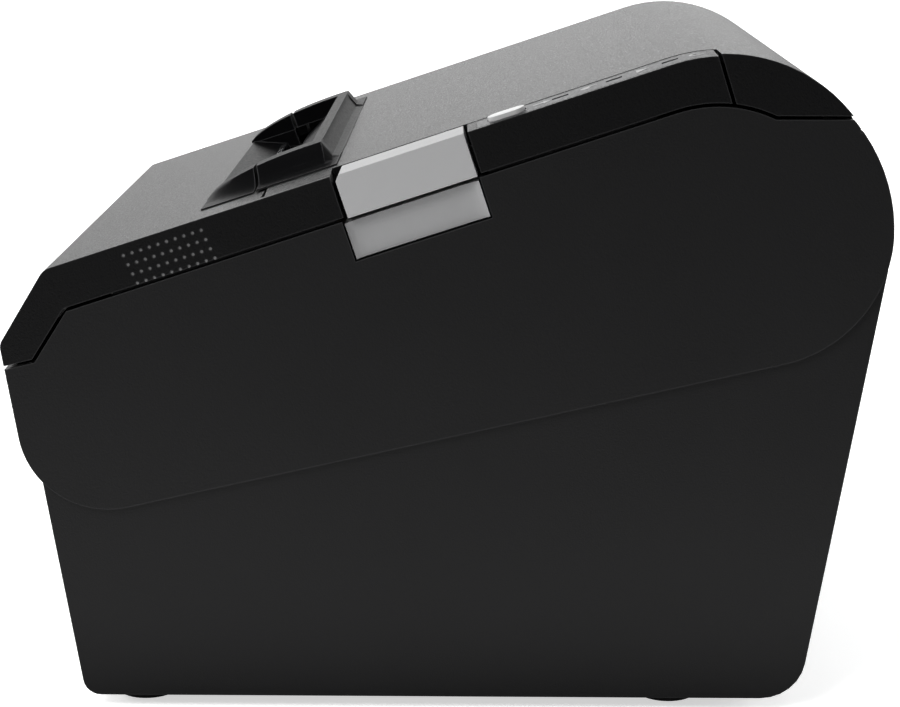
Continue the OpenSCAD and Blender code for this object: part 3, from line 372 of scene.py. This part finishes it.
def add_piece(name, solid, finish, edge=0, smooth=True):
    """A piece that rides on the base. Its sharp edges are rounded to edge mm, where that is given."""
    verts, faces = solid
    mesh = bpy.data.meshes.new(name)
    mesh.from_pydata([tuple(v) for v in verts], [], faces)
    bm = bmesh.new()
    bm.from_mesh(mesh)
    bmesh.ops.remove_doubles(bm, verts=bm.verts, dist=SAME_POINT)
    bmesh.ops.recalc_face_normals(bm, faces=bm.faces)
    bm.to_mesh(mesh)
    bm.free()
    if smooth:
        mesh.shade_smooth()
        mesh.set_sharp_from_angle(angle=SHARP_ANGLE)
    piece = bpy.data.objects.new(name, mesh)
    bpy.context.scene.collection.objects.link(piece)
    mesh.materials.append(MATS[finish])
    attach(piece, "base")
    if edge:
        soften(piece, edge)
    return piece


def prism(outline, low, high, place):
    """Vertices and faces of an outline drawn out from low to high; place turns (a, b, c) into a point."""
    n = len(outline)
    verts = [place(a, b, c) for c in (low, high) for a, b in outline]
    faces = [tuple(reversed(range(n))), tuple(range(n, 2 * n))]
    faces += [(k, (k + 1) % n, n + (k + 1) % n, n + k) for k in range(n)]
    return verts, faces


def joined(solids):
    """One list of vertices and one of faces from several solids."""
    verts, faces = [], []
    for v, f in solids:
        faces += [tuple(k + len(verts) for k in face) for face in f]
        verts += v
    return verts, faces


def circle(radius, count, centre=(0, 0), start=0.0, turn=360.0):
    """Points of a circle, or of an arc that turns so many degrees from start. The end is left out."""
    return [(centre[0] + radius * math.cos(math.radians(start + turn * k / count)),
             centre[1] + radius * math.sin(math.radians(start + turn * k / count)))
            for k in range(count)]


def rect(left, low, right, high):
    return [(left, low), (right, low), (right, high), (left, high)]


def rounded_rect(w, h, r, count=5):
    """Outline of a rectangle from -w to w and -h to h, with corners of radius r."""
    points = []
    for cx, cy, start in ((w - r, h - r, 0), (r - w, h - r, 90), (r - w, r - h, 180), (w - r, r - h, 270)):
        points += [(cx + r * math.cos(math.radians(start + 90 * k / count)),
                    cy + r * math.sin(math.radians(start + 90 * k / count)))
                   for k in range(count + 1)]
    return points


def build_scoop():
    """Shallow finger recess: it comes out to the case along its lower edge and its ends."""
    centre, length, height, width = slope_box("lever_scoop")
    front = centre.x + width / 2
    back = centre.x - width / 2
    steep, shoulder = 9, 0.7            # how suddenly the ends rise, and how round that turn is
    lower_edge = 0.25                   # square of the share of the depth that is left there

    def place(u, v, x):
        return Vector((x, centre.y, centre.z)) + U * length * (u - 0.5) + N * height * (v - 0.5)

    def dish(u, v):
        ends = (1 - abs(2 * u - 1) ** steep) ** shoulder
        return front - SCOOP_DEPTH * ends * min(1, lower_edge + v) ** 0.5

    grid = [(i / SCOOP_COLS, j / SCOOP_ROWS)
            for j in range(SCOOP_ROWS + 1) for i in range(SCOOP_COLS + 1)]
    verts = [place(u, v, dish(u, v)) for u, v in grid] + [place(u, v, back) for u, v in grid]
    count, row = len(grid), SCOOP_COLS + 1
    faces = []
    for j in range(SCOOP_ROWS):
        for i in range(SCOOP_COLS):
            a = j * row + i
            quad = (a, a + 1, a + row + 1, a + row)
            faces += [quad, tuple(k + count for k in reversed(quad))]
    rim = list(range(row))
    rim += [(j + 1) * row - 1 for j in range(1, SCOOP_ROWS + 1)]
    rim += [SCOOP_ROWS * row + i for i in range(SCOOP_COLS - 1, -1, -1)]
    rim += [j * row for j in range(SCOOP_ROWS - 1, 0, -1)]
    faces += [(a, b, b + count, a + count) for a, b in zip(rim, rim[1:] + rim[:1])]
    piece = add_piece("finger_scoop", (verts, faces), "scoop_silver")
    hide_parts("lever_scoop")


def build_seam_lips():
    """The inner lip of the upper case behind the straight run of each side seam. It shuts out light."""
    scoop, _, height, _ = slope_box("lever_scoop")
    top = N * (height / 2)
    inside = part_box("upper_case")[1].x - WALL - LIP_GAP
    for name, (side, start, end) in LIPS.items():

        def place(a, b, c):
            return Vector((side * c, scoop.y, scoop.z)) + top + (U * a + N * b) * MM
        solid = prism(rect(start, LIP_LOW, end, LIP_HIGH), inside - LIP_THICK, inside, place)
        add_piece(f"seam_lip_{name}", solid, "inner_black", 0.12)


def sign_shapes():
    """Plain generic signs, each a list of outlines: an arrow, a roll with its sheet, a triangle, and a
    ring with a gap and a bar."""
    arrow = [[(-1.3, -0.3), (0.3, -0.3), (0.3, -0.9), (1.4, 0), (0.3, 0.9), (0.3, 0.3), (-1.3, 0.3)]]
    roll = [circle(0.75, 20, (-0.5, 0)), rect(-0.5, 0.5, 1.3, 0.85)]
    triangle = [[(-1.0, -1.0), (-1.0, 1.0), (1.0, 0)]]
    outer, inner = (circle(radius, 24, start=40, turn=300) for radius in (1.0, 0.62))
    ring = [outer + list(reversed(inner)), rect(0.1, -0.17, 1.15, 0.17)]
    return [arrow, roll, triangle, ring]


def on_overlay(across, along, lift):
    """The point of the panel film that lies across and along from the feed button, lifted off the film.
    All three are in mm."""
    start = middle("feed_button")
    above = Vector((start.x + across * MM, start.y, start.z)) + U * (along * MM) + N * RAY_HEIGHT * MM
    hit, point, _, _ = NODES["panel_overlay"].ray_cast(above, -N)
    assert hit, "this place lies beyond the panel film"
    return point + N * (lift * MM)


def build_signs():
    for k, (along, shapes) in enumerate(zip(SIGN_PLACES, sign_shapes())):
        solids = [prism(shape, SIGN_LOW, SIGN_HIGH,
                        lambda a, b, c: on_overlay(-b * SIGN, along + a * SIGN, c))
                  for shape in shapes]
        add_piece(f"panel_sign_{k + 1}", joined(solids), "icon_grey", smooth=False)


def build_lenses():
    start = middle("feed_button")
    for k, along in enumerate(LENS_PLACES):
        beside = on_overlay(LENS_BESIDE, along, 0)

        def place(a, b, c):
            return Vector((start.x + a * MM, beside.y, beside.z)) + U * b * MM + N * c * MM
        solid = prism(rounded_rect(*LENS_HALF, LENS_CORNER), LENS_LOW, LENS_HIGH, place)
        add_piece(f"indicator_lens_{k + 1}", solid, "lens_dark", 0.1)


def build_speaker_screen():
    """The pale screen behind the speaker holes, pressed a little way into each. Its pale grey is partly a
    painted highlight: it stands in for the light caught inside each hole.
    """
    centre, length, height, _ = slope_box("speaker")
    wall_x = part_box("front_cover")[1].x
    solids = []
    for row in range(HOLE_ROWS):
        for col in range(HOLE_COLS):
            along = -length / 2 + (HOLE_FIRST[0] + HOLE_STEP[0] * col + HOLE_SHIFT * row) * MM
            up = height / 2 + (HOLE_FIRST[1] - HOLE_STEP[1] * row) * MM

            def place(a, b, c):
                return Vector((c, centre.y, centre.z)) + U * (along + a) + N * (up + b)
            solids.append(prism(circle(HOLE_RADIUS, 10), wall_x - SCREEN_IN, wall_x - SCREEN_OUT, place))
    add_piece("speaker_screen_and_highlight", joined(solids), "screen_grey_and_highlight", smooth=False)


def build_bay_ribs():
    """Low ribs round the floor of the roll bay."""
    lo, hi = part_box("paper_sensor")
    centre_y, centre_z = (lo.y + hi.y) / 2, hi.z + RIB_ABOVE_SENSOR + RIB_RADIUS
    turns = [math.radians(-RIB_HALF_TURN + 2 * RIB_HALF_TURN * i / RIB_STEPS)
             for i in range(RIB_STEPS + 1)]
    outer = [(RIB_RADIUS * math.sin(t), -RIB_RADIUS * math.cos(t)) for t in turns]
    share = 1 - RIB_HEIGHT / RIB_RADIUS
    inner = [(a * share, b * share) for a, b in reversed(outer)]
    for k, x in enumerate(RIB_PLACES):
        solid = prism(outer + inner, (x - RIB_HALF_WIDTH) * MM, (x + RIB_HALF_WIDTH) * MM,
                      lambda a, b, c: (c, centre_y + a, centre_z + b))
        add_piece(f"bay_rib_{k + 1}", solid, "inner_black", 0.15)


def build_port_details():
    """Hex posts at the serial socket, and screws at the ends of the interface plate."""
    lo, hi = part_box("serial_port")
    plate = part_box("interface_panel")[1].y
    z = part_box("usb_port")[0].z + POST_ABOVE * MM

    def rearward(outline, low, high):
        return prism(outline, plate + low * MM, plate + high * MM, lambda a, b, c: (a, c, b))

    for k, x in enumerate((lo.x - POST_BESIDE * MM, hi.x + POST_BESIDE * MM)):
        solid = rearward(circle(POST_RADIUS * MM, 6, (x, z), 30), POST_IN, POST_OUT)
        add_piece(f"serial_post_{k + 1}", solid, "pin_steel", 0.2)
    for k, (x, up) in enumerate(SCREW_PLACES):
        head = rearward(circle(SCREW_RADIUS * MM, 28, (x * MM, up * MM)), SCREW_IN, SCREW_OUT)
        bars = [rearward([(x * MM + a * MM, up * MM + b * MM) for a, b in rect(-w, -h, w, h)],
                         SLOT_IN, SLOT_OUT)
                for w, h in ((SLOT_LONG, SLOT_WIDE), (SLOT_WIDE, SLOT_LONG))]
        add_piece(f"plate_screw_{k + 1}", head, "pin_steel", 0.4)
        add_piece(f"plate_screw_slot_{k + 1}", joined(bars), "screw_black", smooth=False)


build_scoop()
build_signs()
build_lenses()
build_speaker_screen()
build_bay_ribs()
build_seam_lips()
build_port_details()

# ---------- studio ----------
# Name, place, target, size and power in watts of each lamp.
LAMPS = [
    ("key", (0.75, -0.7, 1.1), (0, 0, 0.08), (0.7, 0.7), 14.5),
    ("left", (-0.8, -1.2, 0.5), (0, 0, 0.07), (0.9, 0.6), 14),
    ("rear", (-0.8, 1.2, 0.5), (0, 0, 0.07), (0.9, 0.6), 14),
    ("top", (-0.2, 0.1, 1.5), (0, 0, 0.1), (1.1, 1.1), 4.5),
]

FLOOR_NEAR, FLOOR_FAR, FLOOR_HALF_WIDTH = 3.0, -1.6, 3
CURVE_RADIUS, CURVE_STEPS, BACKDROP_TOP = 0.8, 10, 2.6
FLOOR_NOISE, FLOOR_PALE, FLOOR_PALEST = 3, (0.86, 0.86, 0.86), (0.9, 0.9, 0.9)
FLOOR_SHOWN = 0.6                       # light that the floor gives off to the camera alone
# In reflections: the grey of the floor behind and before the printer, and where one turns to the other.
FLOOR_BEHIND, FLOOR_BEFORE, FLOOR_TURN = 0.35, 0.5, (-0.1, 0.15)
# In reflections: the glow of a strip beside the printer, and where that starts and stops.
STRIP_GLOW, STRIP_NEAR, STRIP_FAR = 1.2, (0.07, 0.12), (0.16, 0.28)
# In reflections: the glow of the backdrop, and where that starts and stops.
BACKDROP_GLOW, GLOW_LOW, GLOW_HIGH, GLOW_SIDE = 2.05, (0.1, 0.4), (0.85, 1.4), (0.65, 1.15)

WORLD_ROUND = 0.16
WORLD_BEHIND, WORLD_TURN, WORLD_RISE = 0.5, (-0.8, 0.1), (0.35, 0.7)

CAMERA_PLACE = (0.4915, 0.0077, 0.190)
CAMERA_YAW, CAMERA_PITCH = math.radians(0.833), math.radians(14.265)
CAMERA_LENS, CAMERA_SENSOR = 80, 36     # mm
CAMERA_CLIP = 0.01


def add_area(name, place, target, size, power):
    data = bpy.data.lights.new(name, "AREA")
    data.shape = "RECTANGLE"
    data.size, data.size_y = size
    data.energy = power
    light = bpy.data.objects.new(name, data)
    light.location = place
    light.rotation_euler = (Vector(target) - Vector(place)).to_track_quat("-Z", "Y").to_euler()
    bpy.context.scene.collection.objects.link(light)


def floor_material():
    """White to the camera. In reflections it is grey, with a bright strip and a bright backdrop."""
    tree, bsdf = tree_of("floor_white")
    seen = tree.nodes.new("ShaderNodeLightPath").outputs["Is Camera Ray"]
    paint = mix_colors(tree, noise(tree, FLOOR_NOISE, GRAIN_DETAIL), FLOOR_PALE, FLOOR_PALEST)
    split = tree.nodes.new("ShaderNodeSeparateXYZ")
    tree.links.new(tree.nodes.new("ShaderNodeNewGeometry").outputs["Position"], split.inputs["Vector"])
    x, y, z = split.outputs
    grey = map_range(tree, x, FLOOR_TURN, FLOOR_BEHIND, FLOOR_BEFORE)
    feed(tree, bsdf.inputs["Base Color"], mix_colors(tree, seen, grey, paint))
    glow = math_node(tree, "MULTIPLY", map_range(tree, z, GLOW_LOW, 0, BACKDROP_GLOW),
                     map_range(tree, y, GLOW_SIDE, 1, 0))
    glow = math_node(tree, "MULTIPLY", glow, map_range(tree, z, GLOW_HIGH, 1, 0))
    strip = math_node(tree, "MULTIPLY", map_range(tree, x, STRIP_NEAR, 0, STRIP_GLOW),
                      map_range(tree, x, STRIP_FAR, 1, 0))
    glow = math_node(tree, "ADD", glow, strip)
    hidden = math_node(tree, "MULTIPLY", glow, math_node(tree, "SUBTRACT", 1, seen))
    shown = math_node(tree, "MULTIPLY", seen, FLOOR_SHOWN)
    feed(tree, bsdf.inputs["Roughness"], 0.8)
    feed(tree, bsdf.inputs["Emission Color"], (1, 1, 1))
    feed(tree, bsdf.inputs["Emission Strength"], math_node(tree, "ADD", hidden, shown))


def build_floor():
    """A floor that curves up into a backdrop behind the printer."""
    bends = [math.radians(90 * k / CURVE_STEPS) for k in range(1, CURVE_STEPS + 1)]
    profile = [(FLOOR_NEAR, 0.0), (FLOOR_FAR, 0.0)]
    profile += [(FLOOR_FAR - CURVE_RADIUS * math.sin(a), CURVE_RADIUS - CURVE_RADIUS * math.cos(a))
                for a in bends]
    profile.append((FLOOR_FAR - CURVE_RADIUS, BACKDROP_TOP))
    count = len(profile)
    mesh = bpy.data.meshes.new("floor")
    mesh.from_pydata([(x, y, z) for y in (-FLOOR_HALF_WIDTH, FLOOR_HALF_WIDTH) for x, z in profile], [],
                     [(k, k + 1, k + 1 + count, k + count) for k in range(count - 1)])
    mesh.shade_smooth()
    floor = bpy.data.objects.new("floor", mesh)
    bpy.context.scene.collection.objects.link(floor)
    floor_material()
    mesh.materials.append(MATS["floor_white"])


def build_world():
    """Soft light from all round, brighter low down behind the printer. The camera sees it white."""
    world = bpy.data.worlds.new("studio")
    world.use_nodes = True
    tree = world.node_tree
    coords = tree.nodes.new("ShaderNodeTexCoord")
    split = tree.nodes.new("ShaderNodeSeparateXYZ")
    tree.links.new(coords.outputs["Generated"], split.inputs["Vector"])
    behind = map_range(tree, split.outputs["X"], WORLD_TURN, 1, 0)
    low = map_range(tree, split.outputs["Z"], WORLD_RISE, 1, 0)
    glow = math_node(tree, "MULTIPLY", math_node(tree, "MULTIPLY", behind, low), WORLD_BEHIND)
    seen = tree.nodes.new("ShaderNodeLightPath").outputs["Is Camera Ray"]
    around = math_node(tree, "ADD", glow, WORLD_ROUND)
    background = tree.nodes["Background"]
    feed(tree, background.inputs["Strength"], math_node(tree, "ADD", around, seen))
    feed(tree, background.inputs["Color"], (1, 1, 1))
    bpy.context.scene.world = world


def add_camera():
    """The picture's view: from the printer's right, a little above it."""
    data = bpy.data.cameras.new("camera")
    data.lens = CAMERA_LENS
    data.sensor_width = CAMERA_SENSOR
    data.clip_start = CAMERA_CLIP
    camera = bpy.data.objects.new("camera", data)
    camera.location = CAMERA_PLACE
    level = math.cos(CAMERA_PITCH)
    forward = Vector((-math.cos(CAMERA_YAW) * level, -math.sin(CAMERA_YAW) * level,
                      -math.sin(CAMERA_PITCH)))
    camera.rotation_euler = forward.to_track_quat("-Z", "Y").to_euler()
    bpy.context.scene.collection.objects.link(camera)
    bpy.context.scene.camera = camera


build_floor()
build_world()
for lamp in LAMPS:
    add_area(*lamp)
add_camera()
bpy.context.scene.view_settings.view_transform = "Standard"
